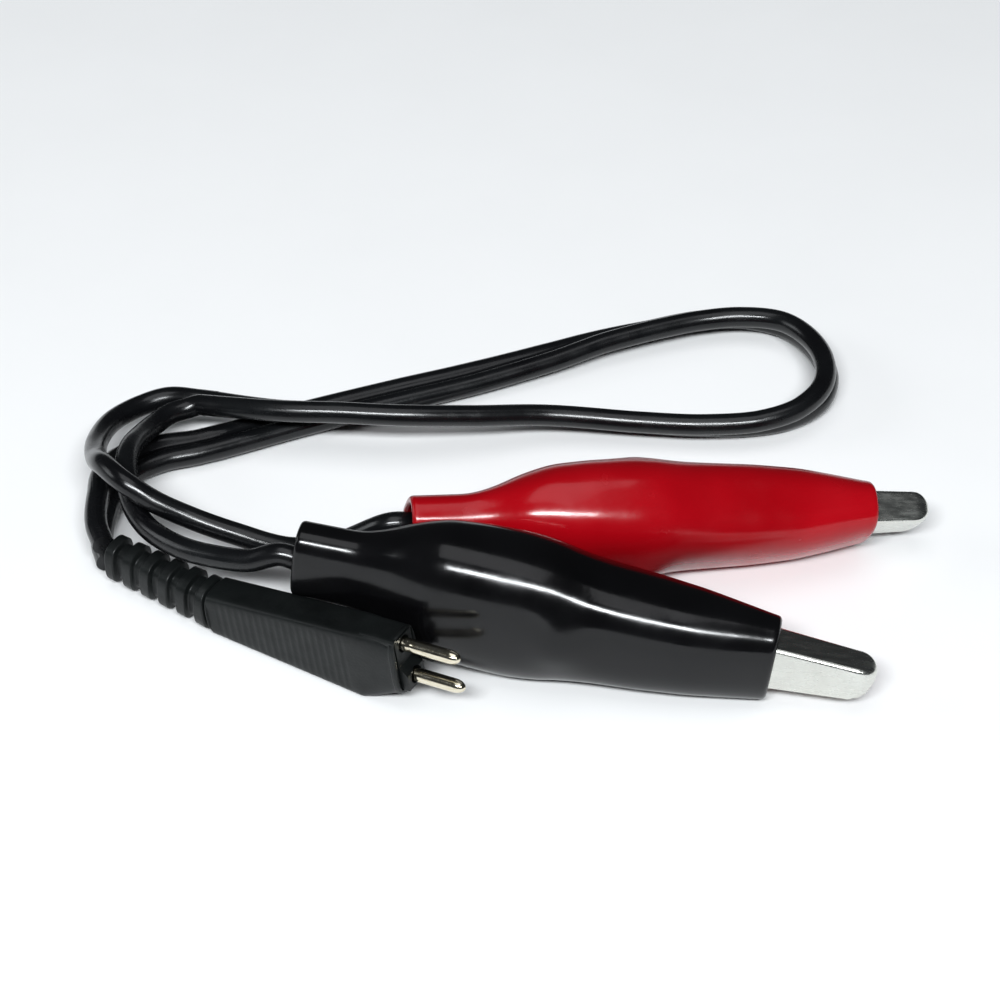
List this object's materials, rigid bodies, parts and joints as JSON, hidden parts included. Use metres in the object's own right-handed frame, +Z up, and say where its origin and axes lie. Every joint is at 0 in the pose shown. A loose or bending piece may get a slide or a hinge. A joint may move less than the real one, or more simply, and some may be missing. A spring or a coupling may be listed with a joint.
{
  "type": "alligator clip lead",
  "caption": "Short black twin cord with a moulded pin plug at one end, split at the other to red and black booted, sprung alligator clips.",
  "frame": {"origin": "on the table, under the middle of the box round the two clips", "axes": "+X roughly along the clips towards their noses, +Z up from the table"},
  "size_m": [0.0824, 0.0608, 0.0145],
  "materials": {
    "red_pvc": "glossy dipped red PVC sleeve",
    "black_pvc": "glossy dipped black PVC sleeve",
    "cord_pvc": "smooth semi-gloss extruded PVC insulation",
    "moulded_pvc": "satin moulded PVC with fine grip ribs",
    "black_plastic": "hard black insert, satin",
    "nickel_plated_steel": "nickel-plated stamped steel, faint rolling marks",
    "spring_steel": "drawn spring wire",
    "tinned_copper": "stripped stranded conductor, tinned",
    "pin_nickel": "nickel-plated brass pins, bright"
  },
  "bodies": {
    "lead": {"red_fixed_jaw": "nickel_plated_steel", "red_pivot_rivet": "nickel_plated_steel", "red_torsion_spring": "spring_steel", "red_bare_conductor": "tinned_copper", "red_boot": "red_pvc", "black_fixed_jaw": "nickel_plated_steel", "black_pivot_rivet": "nickel_plated_steel", "black_torsion_spring": "spring_steel", "black_bare_conductor": "tinned_copper", "black_boot": "black_pvc", "plug_overmould": "moulded_pvc", "plug_pin_carrier": "black_plastic", "plug_pin_upper": "pin_nickel", "plug_pin_lower": "pin_nickel", "twin_cord": "cord_pvc", "red_clip_lead": "cord_pvc", "black_clip_lead": "cord_pvc"},
    "red_jaw": {"red_moving_jaw": "nickel_plated_steel"},
    "black_jaw": {"black_moving_jaw": "nickel_plated_steel"}
  },
  "joints": [
    {"name": "red_clip_hinge", "type": "hinge", "parent": "lead", "child": "red_jaw", "pos_m": [0.0021, 0.0066, 0.0068], "axis": [0.0681, -0.8282, -0.5563], "range_deg": [0, 18], "stiffness_Nm_per_rad": 0.03, "springref_deg": -57.3, "deforming": ["red_boot", "red_torsion_spring"]},
    {"name": "black_clip_hinge", "type": "hinge", "parent": "lead", "child": "black_jaw", "pos_m": [-0.0049, -0.0065, 0.0065], "axis": [-0.1887, -0.9807, 0.0521], "range_deg": [0, 18], "stiffness_Nm_per_rad": 0.03, "springref_deg": -57.3, "deforming": ["black_boot", "black_torsion_spring"]}
  ]
}
